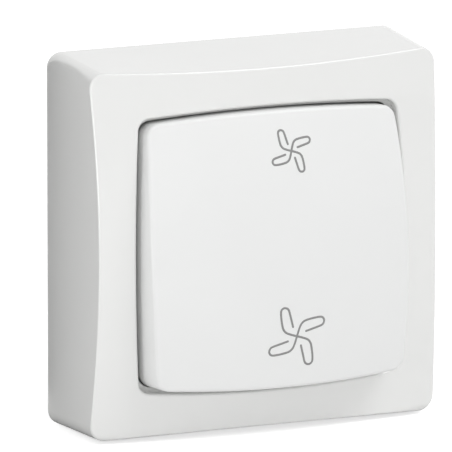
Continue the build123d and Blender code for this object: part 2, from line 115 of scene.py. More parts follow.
# %% Helpers for node trees
def add_node(tree, kind, inputs=None, **properties):
    """A new node of a kind, with its properties and its inputs set or linked."""
    node = tree.nodes.new(kind)
    for name, value in properties.items():
        setattr(node, name, value)
    for key, value in (inputs or {}).items():
        if isinstance(value, bpy.types.NodeSocket):
            tree.links.new(value, node.inputs[key])
        else:
            node.inputs[key].default_value = value
    return node


def math_node(tree, operation, *terms):
    """The output of a math node on numbers or sockets."""
    return add_node(tree, "ShaderNodeMath", dict(enumerate(terms)), operation=operation).outputs[0]


def new_group(name, kind, inputs, outputs):
    """An empty node group with named sockets, with its input and output nodes."""
    tree = bpy.data.node_groups.new(name, kind)
    for label, socket, default in inputs:
        made = tree.interface.new_socket(label, in_out="INPUT", socket_type=socket)
        if default is not None:
            made.default_value = default
    for label, socket in outputs:
        tree.interface.new_socket(label, in_out="OUTPUT", socket_type=socket)
    return tree, tree.nodes.new("NodeGroupInput").outputs, tree.nodes.new("NodeGroupOutput").inputs


def new_material(name):
    """A material with an empty tree, and that tree."""
    material = bpy.data.materials.new(name)
    material.use_nodes = True
    material.node_tree.nodes.clear()
    return material, material.node_tree


# %% [markdown]
# ## The studio
# A white product picture needs a white floor that runs up into a white wall without a corner.
# One strip of quads bent through a quarter circle does that. For the camera and for reflections
# the sweep also glows a little, so the ground comes out white while the soft shadow stays on it.

# %% Floor that sweeps up into the backdrop
floor_level = solid_box[0][2]
sweep_half_width = 3.0
sweep_front = -3.0
sweep_back = 3.2
sweep_bend = 1.0
sweep_top = 3.0
bend_steps = 16

profile = [(sweep_front, floor_level)]
for step in range(bend_steps + 1):
    angle = step / bend_steps * pi / 2
    y = sweep_back - sweep_bend + sweep_bend * sin(angle)
    z = floor_level + sweep_bend * (1 - cos(angle))
    profile.append((y, z))
profile.append((sweep_back, sweep_top))
sweep_points = [(side * sweep_half_width, y, z) for y, z in profile for side in (-1, 1)]
sweep_faces = [(2 * i, 2 * i + 1, 2 * i + 3, 2 * i + 2) for i in range(len(profile) - 1)]
sweep_mesh = bpy.data.meshes.new("studio_sweep")
sweep_mesh.from_pydata(sweep_points, [], sweep_faces)
sweep_mesh.shade_smooth()
studio_sweep = bpy.data.objects.new("studio_sweep", sweep_mesh)
scene.collection.objects.link(studio_sweep)
studio_sweep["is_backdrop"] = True
print("floor at", round(floor_level / MM, 2), "mm,", len(sweep_faces), "quads")


# %% Paper of the sweep
def seen_directly(tree):
    """One for camera, glossy and transmission rays, nought for light that falls on things."""
    path = add_node(tree, "ShaderNodeLightPath").outputs
    mirrored = math_node(tree, "MAXIMUM", path["Is Glossy Ray"], path["Is Transmission Ray"])
    return math_node(tree, "MAXIMUM", path["Is Camera Ray"], mirrored)


paper_glow = 0.64
paper, paper_tree = new_material("studio_paper")
diffuse = add_node(paper_tree, "ShaderNodeBsdfDiffuse", {"Color": (0.80, 0.80, 0.80, 1)})
strength = math_node(paper_tree, "MULTIPLY", seen_directly(paper_tree), paper_glow)
glow = add_node(paper_tree, "ShaderNodeEmission", {"Strength": strength})
both = add_node(paper_tree, "ShaderNodeAddShader", {0: diffuse.outputs[0], 1: glow.outputs[0]})
add_node(paper_tree, "ShaderNodeOutputMaterial", {"Surface": both.outputs[0]})
sweep_mesh.materials.append(paper)

# %% [markdown]
# ## Light
# In the picture the front and the top are bright, the left wall is a clear step darker, and thin
# bright lines run along the ridges. The sky fills in evenly from all round. A broad soft box
# above, to the right, is mirrored by the top ridge, and a small one near the left wall by the
# left ridge. A third stands on the camera's own line, so that it looks straight into the gaps.

# %% Sky and soft boxes
sky_strength = 0.60
sky = bpy.data.worlds.new("sky")
sky.use_nodes = True
sky_tree = sky.node_tree
sky_tree.nodes.clear()
direct = seen_directly(sky_tree)
lift = math_node(sky_tree, "MULTIPLY_ADD", direct, 1.0 - sky_strength, sky_strength)
background = add_node(
    sky_tree, "ShaderNodeBackground", {"Color": (1.0, 1.0, 1.0, 1), "Strength": lift}
)
add_node(sky_tree, "ShaderNodeOutputWorld", {"Surface": background.outputs[0]})
scene.world = sky


def soft_box(name, place, width, height, power):
    """Area light at a place in metres, turned to face the switch."""
    data = bpy.data.lights.new(name, "AREA")
    data.shape = "RECTANGLE"
    data.size = width
    data.size_y = height
    data.energy = power
    lamp = bpy.data.objects.new(name, data)
    lamp.location = place
    lamp.rotation_euler = Vector(place).to_track_quat("Z", "Y").to_euler()
    scene.collection.objects.link(lamp)
    print(name, "at", [round(v, 2) for v in place], power, "W")


soft_box("box_above", (0.50, -0.62, 1.00), width=0.8, height=0.6, power=6.0)
soft_box("box_left", (-0.30, -0.13, -0.005), width=0.07, height=0.075, power=0.14)
soft_box("box_by_camera", (-0.76, -1.80, 0.42), width=0.5, height=0.5, power=3.4)

# %% [markdown]
# The left wall also darkens towards the wall side, and a thin dark line runs along its foot. A
# photographer gets this with black cards, because a glossy side seen so flatly mirrors whatever
# lies beside it. One card stands in the plane of the wall, beside the left edge, and also takes
# away the light that would come from behind. The two at the foot, one upright and one lying, are
# only mirrored, so that they leave no shadow on the floor. The camera sees none of them.

# %% Black paper
black_paper, black_tree = new_material("black_paper")
matt = add_node(black_tree, "ShaderNodeBsdfDiffuse", {"Color": (0.03, 0.03, 0.03, 1)})
add_node(black_tree, "ShaderNodeOutputMaterial", {"Surface": matt.outputs[0]})


def black_card(name, corners, shades):
    """Card of black paper that the camera doesn't see; it shades things, or is only mirrored."""
    mesh = bpy.data.meshes.new(name)
    mesh.from_pydata(corners, [], [(0, 1, 2, 3)])
    mesh.materials.append(black_paper)
    card = bpy.data.objects.new(name, mesh)
    card.visible_camera = False
    card.visible_diffuse = card.visible_shadow = shades
    scene.collection.objects.link(card)
    card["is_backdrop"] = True


# %% Black cards beside the left wall and at its foot
half_side = solid_box[1][0]
card_width = 20.0 * MM
card_top = 50.0 * MM
card_gap = 0.3 * MM
card_foot = 8.0 * MM
card_front = -26.0 * MM
near_side = -half_side - card_gap
far_side = near_side - card_width


def upright(low, high):
    """Corners of a card in the plane of the wall between two heights."""
    y = card_gap
    return [(near_side, y, low), (far_side, y, low), (far_side, y, high), (near_side, y, high)]


def lying(front, back):
    """Corners of a card on the floor between two places along Y."""
    z = floor_level + card_gap
    return [(far_side, front, z), (half_side, front, z), (half_side, back, z), (far_side, back, z)]


black_card("card_beside", upright(floor_level + card_foot, card_top), shades=True)
black_card("card_low", upright(floor_level, floor_level + card_foot), shades=False)
black_card("card_at_foot", lying(card_front, card_width), shades=False)
print("black cards", round(card_width / MM, 1), "mm wide")

# %% [markdown]
# ## What a moulding's skin looks like
# A moulded face is never perfectly flat or even. It carries the fine grain that the mould was
# eroded with, a slow waviness where the plastic shrank, and small changes in gloss. The same
# three effects serve every plastic of this switch, so they are made once as a group of shader
# nodes, and each material places it with its own scales. The group only gives values: the
# shader itself stays in each material, where the export can read it.

# %% Shader group: moulded skin
skin_values = [
    ("Height", "NodeSocketFloat"),
    ("Roughness", "NodeSocketFloat"),
    ("Colour", "NodeSocketColor"),
]
noise_middle = 0.5
moulded_skin, given, result = new_group(
    "Moulded skin",
    "ShaderNodeTree",
    [
        ("Grain size (mm)", "NodeSocketFloat", 0.12),
        ("Wave size (mm)", "NodeSocketFloat", 14.0),
        ("Wave share", "NodeSocketFloat", 0.5),
        ("Gloss", "NodeSocketFloat", 0.35),
        ("Gloss change", "NodeSocketFloat", 0.06),
        ("Colour", "NodeSocketColor", (0.8, 0.8, 0.8, 1)),
        ("Colour change", "NodeSocketFloat", 0.02),
    ],
    skin_values,
)


def noise_of_size(tree, size_socket, detail, roughness=0.5):
    """Noise whose features are about a size in millimetres, on Object coordinates."""
    place = add_node(tree, "ShaderNodeTexCoord").outputs["Object"]
    scale = math_node(tree, "DIVIDE", 1 / MM, size_socket)
    return add_node(
        tree,
        "ShaderNodeTexNoise",
        {"Vector": place, "Scale": scale, "Detail": detail, "Roughness": roughness},
    ).outputs["Fac"]


grain = noise_of_size(moulded_skin, given["Grain size (mm)"], detail=2.0)
wave = noise_of_size(moulded_skin, given["Wave size (mm)"], detail=1.0)
height = add_node(
    moulded_skin, "ShaderNodeMix", {0: given["Wave share"], 2: grain, 3: wave}, data_type="FLOAT"
).outputs[0]
evened = math_node(moulded_skin, "SUBTRACT", wave, noise_middle)
gloss = math_node(moulded_skin, "MULTIPLY_ADD", evened, given["Gloss change"], given["Gloss"])
tone = math_node(moulded_skin, "MULTIPLY_ADD", evened, given["Colour change"], 1.0)
shaded = add_node(
    moulded_skin, "ShaderNodeVectorMath", {0: given["Colour"], "Scale": tone}, operation="SCALE"
).outputs[0]
moulded_skin.links.new(height, result["Height"])
moulded_skin.links.new(gloss, result["Roughness"])
moulded_skin.links.new(shaded, result["Colour"])

# %% [markdown]
# Sheet metal shows fine lines from the rolls along its length, and a thin coat of zinc or the
# silver of a contact shows cloudy patches. Stretching the coordinates before the noise turns
# round grains into long lines, so one group makes both the lines and the clouds.

# %% Shader group: rolled metal
rolled_metal, given, result = new_group(
    "Rolled metal",
    "ShaderNodeTree",
    [
        ("Line width (mm)", "NodeSocketFloat", 0.08),
        ("Line length", "NodeSocketVector", (0.05, 1.0, 1.0)),
        ("Cloud size (mm)", "NodeSocketFloat", 2.5),
        ("Gloss", "NodeSocketFloat", 0.35),
        ("Gloss change", "NodeSocketFloat", 0.2),
        ("Colour", "NodeSocketColor", (0.6, 0.6, 0.6, 1)),
        ("Cloud colour", "NodeSocketColor", (0.5, 0.5, 0.5, 1)),
    ],
    skin_values,
)
place = add_node(rolled_metal, "ShaderNodeTexCoord").outputs["Object"]
stretched = add_node(
    rolled_metal, "ShaderNodeVectorMath", {0: place, 1: given["Line length"]}, operation="MULTIPLY"
).outputs[0]
lines = add_node(
    rolled_metal,
    "ShaderNodeTexNoise",
    {
        "Vector": stretched,
        "Scale": math_node(rolled_metal, "DIVIDE", 1 / MM, given["Line width (mm)"]),
        "Detail": 3.0,
    },
).outputs["Fac"]
clouds = noise_of_size(rolled_metal, given["Cloud size (mm)"], detail=3.0, roughness=0.6)
evened = math_node(rolled_metal, "SUBTRACT", clouds, noise_middle)
gloss = math_node(rolled_metal, "MULTIPLY_ADD", evened, given["Gloss change"], given["Gloss"])
mixed = add_node(
    rolled_metal,
    "ShaderNodeMix",
    {0: clouds, 6: given["Colour"], 7: given["Cloud colour"]},
    data_type="RGBA",
).outputs[2]
rolled_metal.links.new(lines, result["Height"])
rolled_metal.links.new(gloss, result["Roughness"])
rolled_metal.links.new(mixed, result["Colour"])
print("shader groups:", moulded_skin.name, "and", rolled_metal.name)


# %% Helper that turns a group into a material
def finish(name, group, relief, sockets, **shader):
    """Material of a group's values, a relief in millimetres and plain shader values."""
    made, tree = new_material(name)
    skin = tree.nodes.new("ShaderNodeGroup")
    skin.node_tree = group
    for label, value in sockets.items():
        skin.inputs[label].default_value = value
    bump = add_node(
        tree,
        "ShaderNodeBump",
        {"Height": skin.outputs["Height"], "Distance": relief * MM, "Strength": 1.0},
    )
    surface = add_node(
        tree,
        "ShaderNodeBsdfPrincipled",
        {
            "Base Color": skin.outputs["Colour"],
            "Roughness": skin.outputs["Roughness"],
            "Normal": bump.outputs["Normal"],
            **shader,
        },
    )
    add_node(tree, "ShaderNodeOutputMaterial", {"Surface": surface.outputs[0]})
    return made


# %% [markdown]
# ## The mouldings' finishes
# The cover and the key are the same white plastic from two moulds, with a grain too fine to see
# from a step away. The key is satin. The cover's mould was polished more, so its ridges show thin
# bright lines. The base is duller, because nobody sees it once it is on the wall. The mechanism's
# housing and lid are a grey plastic filled with glass, which shows as faint flecks, and the
# cradle and plunger are a slippery natural white.

# %% Plastics
cover_plastic = finish(
    "cover_plastic",
    moulded_skin,
    relief=0.0020,
    sockets={
        "Colour": (0.828, 0.831, 0.820, 1),
        "Gloss": 0.20,
        "Grain size (mm)": 0.14,
        "Wave size (mm)": 16.0,
    },
    **{"IOR": 1.49, "Specular IOR Level": 1.0},
)
key_plastic = finish(
    "key_plastic",
    moulded_skin,
    relief=0.0020,
    sockets={
        "Colour": (0.845, 0.850, 0.845, 1),
        "Gloss": 0.32,
        "Grain size (mm)": 0.12,
        "Wave size (mm)": 18.0,
    },
    **{"IOR": 1.49},
)
base_plastic = finish(
    "base_plastic",
    moulded_skin,
    relief=0.0060,
    sockets={
        "Colour": (0.760, 0.760, 0.735, 1),
        "Gloss": 0.55,
        "Gloss change": 0.15,
        "Grain size (mm)": 0.25,
        "Wave size (mm)": 9.0,
        "Wave share": 0.25,
        "Colour change": 0.05,
    },
)
mechanism_plastic = finish(
    "mechanism_plastic",
    moulded_skin,
    relief=0.0080,
    sockets={
        "Colour": (0.420, 0.430, 0.425, 1),
        "Gloss": 0.50,
        "Gloss change": 0.25,
        "Grain size (mm)": 0.30,
        "Wave size (mm)": 3.0,
        "Wave share": 0.35,
        "Colour change": 0.20,
    },
)
cradle_plastic = finish(
    "cradle_plastic",
    moulded_skin,
    relief=0.0030,
    sockets={
        "Colour": (0.740, 0.730, 0.690, 1),
        "Gloss": 0.38,
        "Gloss change": 0.10,
        "Grain size (mm)": 0.20,
        "Wave size (mm)": 6.0,
        "Colour change": 0.04,
    },
    **{"Subsurface Weight": 0.05, "Subsurface Radius": (0.001, 0.001, 0.001), "IOR": 1.48},
)

# %% [markdown]
# ## The metals' finishes
# The support plate and the clamps are sheet steel with bright zinc, whose clouds are a little
# blue and a little straw. The screws have the same zinc on turned steel. The strips and the
# blade are rolled brass, the tips are silver that has gone slightly dull.

# %% Metals
zinc_sheet = finish(
    "zinc_sheet",
    rolled_metal,
    relief=0.0020,
    sockets={
        "Colour": (0.600, 0.620, 0.640, 1),
        "Cloud colour": (0.640, 0.620, 0.560, 1),
        "Gloss": 0.34,
        "Gloss change": 0.22,
        "Line width (mm)": 0.06,
        "Cloud size (mm)": 3.0,
    },
    Metallic=1.0,
)
screw_zinc = finish(
    "screw_zinc",
    rolled_metal,
    relief=0.0015,
    sockets={
        "Colour": (0.560, 0.570, 0.580, 1),
        "Cloud colour": (0.610, 0.590, 0.530, 1),
        "Gloss": 0.30,
        "Gloss change": 0.15,
        "Line width (mm)": 0.05,
        "Line length": (1.0, 0.1, 1.0),
        "Cloud size (mm)": 0.9,
    },
    Metallic=1.0,
)
spring_wire = finish(
    "spring_wire",
    rolled_metal,
    relief=0.0010,
    sockets={
        "Colour": (0.500, 0.500, 0.505, 1),
        "Cloud colour": (0.430, 0.430, 0.440, 1),
        "Gloss": 0.25,
        "Gloss change": 0.12,
        "Line width (mm)": 0.04,
        "Cloud size (mm)": 0.7,
    },
    Metallic=1.0,
)
strip_brass = finish(
    "strip_brass",
    rolled_metal,
    relief=0.0020,
    sockets={
        "Colour": (0.760, 0.560, 0.260, 1),
        "Cloud colour": (0.660, 0.450, 0.200, 1),
        "Gloss": 0.30,
        "Gloss change": 0.20,
        "Line width (mm)": 0.05,
        "Cloud size (mm)": 2.0,
    },
    Metallic=1.0,
)
contact_silver = finish(
    "contact_silver",
    rolled_metal,
    relief=0.0015,
    sockets={
        "Colour": (0.780, 0.770, 0.740, 1),
        "Cloud colour": (0.600, 0.580, 0.530, 1),
        "Gloss": 0.38,
        "Gloss change": 0.25,
        "Line length": (1.0, 1.0, 1.0),
        "Line width (mm)": 0.10,
        "Cloud size (mm)": 0.6,
    },
    Metallic=1.0,
)
sign_ink = finish(
    "sign_ink",
    moulded_skin,
    relief=0.0010,
    sockets={
        "Colour": (0.270, 0.272, 0.268, 1),
        "Gloss": 0.50,
        "Gloss change": 0.15,
        "Grain size (mm)": 0.05,
        "Wave size (mm)": 0.8,
        "Colour change": 0.25,
    },
)

# %% Every solid gets its finish
finish_of = {
    "front_cover": cover_plastic,
    "rocker_key": key_plastic,
    "wall_base": base_plastic,
    "support_plate": zinc_sheet,
    "plate_screws": screw_zinc,
    "mechanism_housing": mechanism_plastic,
    "mechanism_lid": mechanism_plastic,
    "key_cradle": cradle_plastic,
    "detent_plunger": cradle_plastic,
    "plunger_spring": spring_wire,
    "contact_blade": strip_brass,
    "moving_contact_tips": contact_silver,
    "common_strip": strip_brass,
    "low_speed_strip": strip_brass,
    "high_speed_strip": strip_brass,
    "fixed_contact_tips": contact_silver,
    "low_speed_clamp": zinc_sheet,
    "high_speed_clamp": zinc_sheet,
    "common_clamp": zinc_sheet,
    "terminal_screws": screw_zinc,
}
for node_name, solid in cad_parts.items():
    if not solid.material_slots:
        solid.data.materials.append(None)
    for slot in solid.material_slots:
        slot.material = finish_of[node_name]
print("finished:", len(finish_of), "solids")

# %% [markdown]
# ## The key and its skin
# The key rocks about a pivot 25 mm from the wall and rests 5.4 degrees off level, with its top
# pressed in. Its own plane has X to the right, Y up the key and Z out of it, so one turn about X
# takes any piece from that plane to its place on the key.

# %% Key's own plane
key_tilt = radians(5.4)
pivot_depth = 25.0
key_face_depth = 37.1
key_dome_radius = 150.0
key_turn = (pi / 2 - key_tilt, 0, 0)
key_axis = Vector((0, -cos(key_tilt), sin(key_tilt)))


def on_key(depth):
    """Place on the key's axis at a depth from the wall, as it is when the key stands level."""
    return metres(0, -pivot_depth, 0) + key_axis * (depth - pivot_depth) * MM


# %% [markdown]
# A solid arrives as loose triangles. Long slivers meet at the top of the key's dome, and they
# twist the shading there into a bright fleck. A moulded face has none, so the key is shown by
# a copy: its points are merged, slivers of no width are dissolved, and every edge flatter than
# thirty degrees is smoothed. The dome is a part of a sphere, so each corner on it can take the
# sphere's own direction, which no sliver can twist. The shape stays exactly the solid's.


# %% A clean copy of a solid, with an even dome
smooth_below = radians(30)


def clean_copy(name, solid, weld=0.002 * MM):
    """Copy of a solid with its points merged and its smooth edges found again."""
    mesh = solid.data.copy()
    work = bmesh.new()
    work.from_mesh(mesh)
    bmesh.ops.remove_doubles(work, verts=work.verts, dist=weld)
    bmesh.ops.dissolve_degenerate(work, edges=work.edges, dist=weld)
    work.to_mesh(mesh)
    work.free()
    mesh.name = name
    mesh.shade_smooth()
    mesh.set_sharp_from_angle(angle=smooth_below)
    copy = bpy.data.objects.new(name, mesh)
    scene.collection.objects.link(copy)
    print(name, len(solid.data.vertices), "points became", len(mesh.vertices))
    return copy


def even_dome(mesh, centre, radius, reach=0.005 * MM):
    """Give every corner of the faces on a sphere the sphere's own normal."""
    normals = [corner.vector.copy() for corner in mesh.corner_normals]
    on_dome = 0
    for face in mesh.polygons:
        spokes = [mesh.vertices[i].co - centre for i in face.vertices]
        if all(abs(spoke.length - radius) < reach for spoke in spokes):
            on_dome += 1
            for loop, spoke in zip(face.loop_indices, spokes):
                normals[loop] = spoke.normalized()
    mesh.normals_split_custom_set(normals)
    print("faces on the dome:", on_dome, "of", len(mesh.polygons))


key_skin = clean_copy("key_skin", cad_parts["rocker_key"])
even_dome(key_skin.data, on_key(key_face_depth - key_dome_radius), key_dome_radius * MM)
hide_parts("rocker_key")
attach(key_skin, "key")

# %% [markdown]
# ## The ledge in the opening
# The gap round the key is a soft grey line and not a black slot, because a narrow ledge runs
# round the opening a little below its edge. It keeps light and dust out of the mechanism and
# follows both the barrel outline and the dome of the cover. So one short profile is carried
# round that outline, and each of its points takes its depth from the dome.

# %% Barrel outline
outline_bow = 1.4
side_steps = 24
corner_steps = 8


def barrel_outline(half, corner):
    """Points of a square with bowed sides and round corners, in millimetres."""
    reach = half - outline_bow
    bow_radius = (reach**2 + outline_bow**2) / 2 / outline_bow
    middle = half - bow_radius
    centre = (middle + sqrt(2 * (bow_radius - corner) ** 2 - middle**2)) / 2
    side_end = atan2(centre, centre - middle)
    quarter = []
    for step in range(side_steps):
        angle = side_end * (2 * step / side_steps - 1)
        quarter.append((middle + bow_radius * cos(angle), bow_radius * sin(angle)))
    for step in range(corner_steps):
        angle = side_end + (pi / 2 - 2 * side_end) * step / corner_steps
        quarter.append((centre + corner * cos(angle), centre + corner * sin(angle)))
    turns = [(1, 0), (0, 1), (-1, 0), (0, -1)]
    return [(c * x - d * y, d * x + c * y) for c, d in turns for x, y in quarter]


# %% Ledge between the cover and the key
crown_depth = 30.3
dome_radius = 249.0
ledge_drop = 3.2
ledge_edge = 0.15
ledge_thickness = 0.4
opening_half = 32.75
opening_corner = 3.0
ledge_root = 0.3
ledge_inner_half = 31.78

# Each point of the profile: half size of its outline, its corner and how far below the dome it lies
ledge_profile = [
    (opening_half + ledge_root, opening_corner + ledge_root, ledge_drop),
    (ledge_inner_half + ledge_edge, opening_corner + ledge_edge, ledge_drop),
    (ledge_inner_half, opening_corner, ledge_drop + ledge_edge),
    (ledge_inner_half, opening_corner, ledge_drop + ledge_thickness),
    (opening_half + ledge_root, opening_corner + ledge_root, ledge_drop + ledge_thickness),
]
ledge_points = []
for half, corner, drop in ledge_profile:
    for x, z in barrel_outline(half, corner):
        dome_depth = crown_depth - dome_radius + sqrt(dome_radius**2 - x**2 - z**2)
        ledge_points.append(metres(x, -(dome_depth - drop), z))
ring = len(ledge_points) // len(ledge_profile)
ledge_faces = []
for row in range(len(ledge_profile)):
    below = (row + 1) % len(ledge_profile)
    for i in range(ring):
        j = (i + 1) % ring
        ledge_faces.append((row * ring + i, below * ring + i, below * ring + j, row * ring + j))
ledge_mesh = bpy.data.meshes.new("opening_ledge")
ledge_mesh.from_pydata(ledge_points, [], ledge_faces)
ledge_mesh.shade_smooth()
ledge_mesh.set_sharp_from_angle(angle=smooth_below)
ledge_mesh.materials.append(cover_plastic)
opening_ledge = bpy.data.objects.new("opening_ledge", ledge_mesh)
scene.collection.objects.link(opening_ledge)
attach(opening_ledge, "switch_base")
print("opening_ledge:", len(ledge_faces), "faces, inner width", 2 * ledge_inner_half, "mm")

# %% [markdown]
# ## The fan signs
# Two signs of the same fan are printed on the key: a small one at the top for the low speed, and
# a large one at the bottom for the high speed. A sign is one blade drawn four times round a hub.
# The line of a blade leaves the hub, runs out along one side, turns round the tip, and comes back
# on the other side. Geometry Nodes suit this well: the blade's line is drawn once, repeated round
# the hub, given the width of the pen, and laid down on the domed key.

# %% Line of one blade
# Places on a blade of length one, with the hub at the middle and the blade pointing up
blade_line = [
    (0.000, 0.000),
    (-0.220, 0.070),
    (-0.400, 0.150),
    (-0.500, 0.270),
    (-0.545, 0.430),
    (-0.580, 0.660),
    (-0.590, 0.860),
    (-0.555, 0.955),
    (-0.460, 1.000),
    (-0.350, 0.965),
    (-0.295, 0.880),
    (-0.230, 0.640),
    (-0.150, 0.330),
]
line_mesh = bpy.data.meshes.new("blade_line")
line_mesh.from_pydata(
    [(x, y, 0) for x, y in blade_line], [(i, i + 1) for i in range(len(blade_line) - 1)], []
)
print("blade line:", len(line_mesh.vertices), "points")

# %% [markdown]
# The tree works in millimetres on the key's own plane, because that is how a print is
# measured. The strokes and the round ends of the pen become one clean outline by a boolean
# union. Each point is then dropped along the key's axis on to the dome, a sphere whose top
# lies at the origin.

# %% Tree: a fan sign on a dome
blade_steps = 60
dot_sides = 24
fan_tree, given, result = new_group(
    "Fan sign",
    "GeometryNodeTree",
    [
        ("Blade line", "NodeSocketGeometry", None),
        ("Blades", "NodeSocketInt", 4),
        ("Blade length", "NodeSocketFloat", 4.5),
        ("Pen width", "NodeSocketFloat", 0.45),
        ("Ink height", "NodeSocketFloat", 0.04),
        ("Middle", "NodeSocketVector", (0, 0, 0)),
        ("Dome radius", "NodeSocketFloat", key_dome_radius),
    ],
    [("Sign", "NodeSocketGeometry")],
)
stroke = add_node(fan_tree, "GeometryNodeMeshToCurve", {"Mesh": given["Blade line"]}).outputs[0]
smooth = add_node(
    fan_tree, "GeometryNodeCurveSplineType", {"Curve": stroke}, spline_type="CATMULL_ROM"
).outputs[0]
even = add_node(
    fan_tree, "GeometryNodeResampleCurve", {"Curve": smooth, "Count": blade_steps}
).outputs[0]
hubs = add_node(fan_tree, "GeometryNodePoints", {"Count": given["Blades"]}).outputs[0]
index = add_node(fan_tree, "GeometryNodeInputIndex").outputs[0]
turn = math_node(fan_tree, "MULTIPLY", index, math_node(fan_tree, "DIVIDE", tau, given["Blades"]))
copies = add_node(
    fan_tree,
    "GeometryNodeInstanceOnPoints",
    {
        "Points": hubs,
        "Instance": even,
        "Rotation": add_node(fan_tree, "ShaderNodeCombineXYZ", {"Z": turn}).outputs[0],
        "Scale": given["Blade length"],
    },
).outputs[0]
strokes = add_node(fan_tree, "GeometryNodeRealizeInstances", {0: copies}).outputs[0]
level = add_node(
    fan_tree, "GeometryNodeSetCurveNormal", {"Curve": strokes}, mode="Z_UP"
).outputs[0]
nib = add_node(
    fan_tree,
    "GeometryNodeCurvePrimitiveQuadrilateral",
    {"Width": given["Pen width"], "Height": given["Ink height"]},
).outputs[0]
ribbons = add_node(
    fan_tree, "GeometryNodeCurveToMesh", {"Curve": level, "Profile Curve": nib, "Fill Caps": True}
).outputs[0]
dot = add_node(
    fan_tree,
    "GeometryNodeMeshCylinder",
    {
        "Vertices": dot_sides,
        "Radius": math_node(fan_tree, "MULTIPLY", given["Pen width"], 0.5),
        "Depth": given["Ink height"],
    },
).outputs[0]
ends = add_node(fan_tree, "GeometryNodeCurveEndpointSelection").outputs[0]
dots = add_node(
    fan_tree, "GeometryNodeInstanceOnPoints", {"Points": level, "Selection": ends, "Instance": dot}
).outputs[0]
joined = add_node(fan_tree, "GeometryNodeJoinGeometry", {0: ribbons}).outputs[0]
fan_tree.links.new(
    add_node(fan_tree, "GeometryNodeRealizeInstances", {0: dots}).outputs[0], joined.node.inputs[0]
)
outline = add_node(
    fan_tree,
    "GeometryNodeMeshBoolean",
    {"Mesh 2": joined, "Self Intersection": True},
    operation="UNION",
    solver="EXACT",
).outputs[0]

# %% Tree: the sign is laid on the dome
place = add_node(fan_tree, "GeometryNodeInputPosition").outputs[0]
moved = add_node(
    fan_tree, "ShaderNodeVectorMath", {0: place, 1: given["Middle"]}, operation="ADD"
).outputs[0]
x, y, z = add_node(fan_tree, "ShaderNodeSeparateXYZ", {0: moved}).outputs
x_square, y_square, radius_square = (
    math_node(fan_tree, "POWER", length, 2.0) for length in (x, y, given["Dome radius"])
)
across = math_node(fan_tree, "ADD", x_square, y_square)
rise = math_node(fan_tree, "SQRT", math_node(fan_tree, "SUBTRACT", radius_square, across))
drop = math_node(fan_tree, "SUBTRACT", rise, given["Dome radius"])
on_dome = add_node(
    fan_tree, "ShaderNodeCombineXYZ", {"X": x, "Y": y, "Z": math_node(fan_tree, "ADD", z, drop)}
).outputs[0]
laid = add_node(
    fan_tree, "GeometryNodeSetPosition", {"Geometry": outline, "Position": on_dome}
).outputs[0]
fan_tree.links.new(laid, result["Sign"])

# %% [markdown]
# Both signs come from one tree, because they are printed with the same pen and in one stroke of
# the press. The last nodes turn them from the key's own plane to its place on the switch.

# %% Tree: both signs on the key
signs_tree, given, result = new_group(
    "Key signs",
    "GeometryNodeTree",
    [
        ("Blade line", "NodeSocketGeometry", None),
        ("Small length", "NodeSocketFloat", 4.80),
        ("Small middle", "NodeSocketVector", (2.7, 22.2, 0)),
        ("Large length", "NodeSocketFloat", 6.72),
        ("Large middle", "NodeSocketVector", (2.3, -19.7, 0)),
        ("Pen width", "NodeSocketFloat", 0.45),
        ("Place", "NodeSocketVector", (0, 0, 0)),
        ("Turn", "NodeSocketVector", (0, 0, 0)),
        ("Ink", "NodeSocketMaterial", None),
    ],
    [("Geometry", "NodeSocketGeometry")],
)
signs_tree.is_modifier = True
joined = add_node(signs_tree, "GeometryNodeJoinGeometry").inputs[0]
for size in ("Small", "Large"):
    sign = signs_tree.nodes.new("GeometryNodeGroup")
    sign.node_tree = fan_tree
    signs_tree.links.new(given["Blade line"], sign.inputs["Blade line"])
    signs_tree.links.new(given[size + " length"], sign.inputs["Blade length"])
    signs_tree.links.new(given[size + " middle"], sign.inputs["Middle"])
    signs_tree.links.new(given["Pen width"], sign.inputs["Pen width"])
    signs_tree.links.new(sign.outputs[0], joined)
placed = add_node(
    signs_tree,
    "GeometryNodeTransform",
    {
        "Geometry": joined.node.outputs[0],
        "Translation": given["Place"],
        "Rotation": given["Turn"],
        "Scale": (MM, MM, MM),
    },
).outputs[0]
real = add_node(signs_tree, "GeometryNodeRealizeInstances", {0: placed}).outputs[0]
inked = add_node(
    signs_tree, "GeometryNodeSetMaterial", {"Geometry": real, "Material": given["Ink"]}
).outputs[0]
signs_tree.links.new(inked, result["Geometry"])


# %% Helper that runs a tree and keeps the plain mesh
def run_tree(name, tree, start, values):
    """Piece that a tree makes from a starting mesh, with the tree's inputs set by their names."""
    source = bpy.data.objects.new(name + "_source", start)
    scene.collection.objects.link(source)
    modifier = source.modifiers.new(name, "NODES")
    modifier.node_group = tree
    for item in tree.interface.items_tree:
        if item.item_type == "SOCKET" and item.in_out == "INPUT" and item.name in values:
            modifier[item.identifier] = values[item.name]
    evaluated = source.evaluated_get(bpy.context.evaluated_depsgraph_get())
    plain = bpy.data.meshes.new_from_object(evaluated)
    bpy.data.objects.remove(source)
    piece = bpy.data.objects.new(name, plain)
    scene.collection.objects.link(piece)
    low = [round(min(v.co[i] for v in plain.vertices) / MM, 2) for i in range(3)]
    high = [round(max(v.co[i] for v in plain.vertices) / MM, 2) for i in range(3)]
    print(name, len(plain.polygons), "faces,", low, "to", high)
    return piece


# %% Print both signs on the key
fan_signs = run_tree(
    "fan_signs",
    signs_tree,
    line_mesh,
    {
        "Small length": 4.80,
        "Small middle": (2.69, 22.21, 0.0),
        "Large length": 6.72,
        "Large middle": (2.27, -19.69, 0.0),
        "Pen width": 0.475,
        "Place": tuple(on_key(key_face_depth)),
        "Turn": key_turn,
        "Ink": sign_ink,
    },
)
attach(fan_signs, "key")

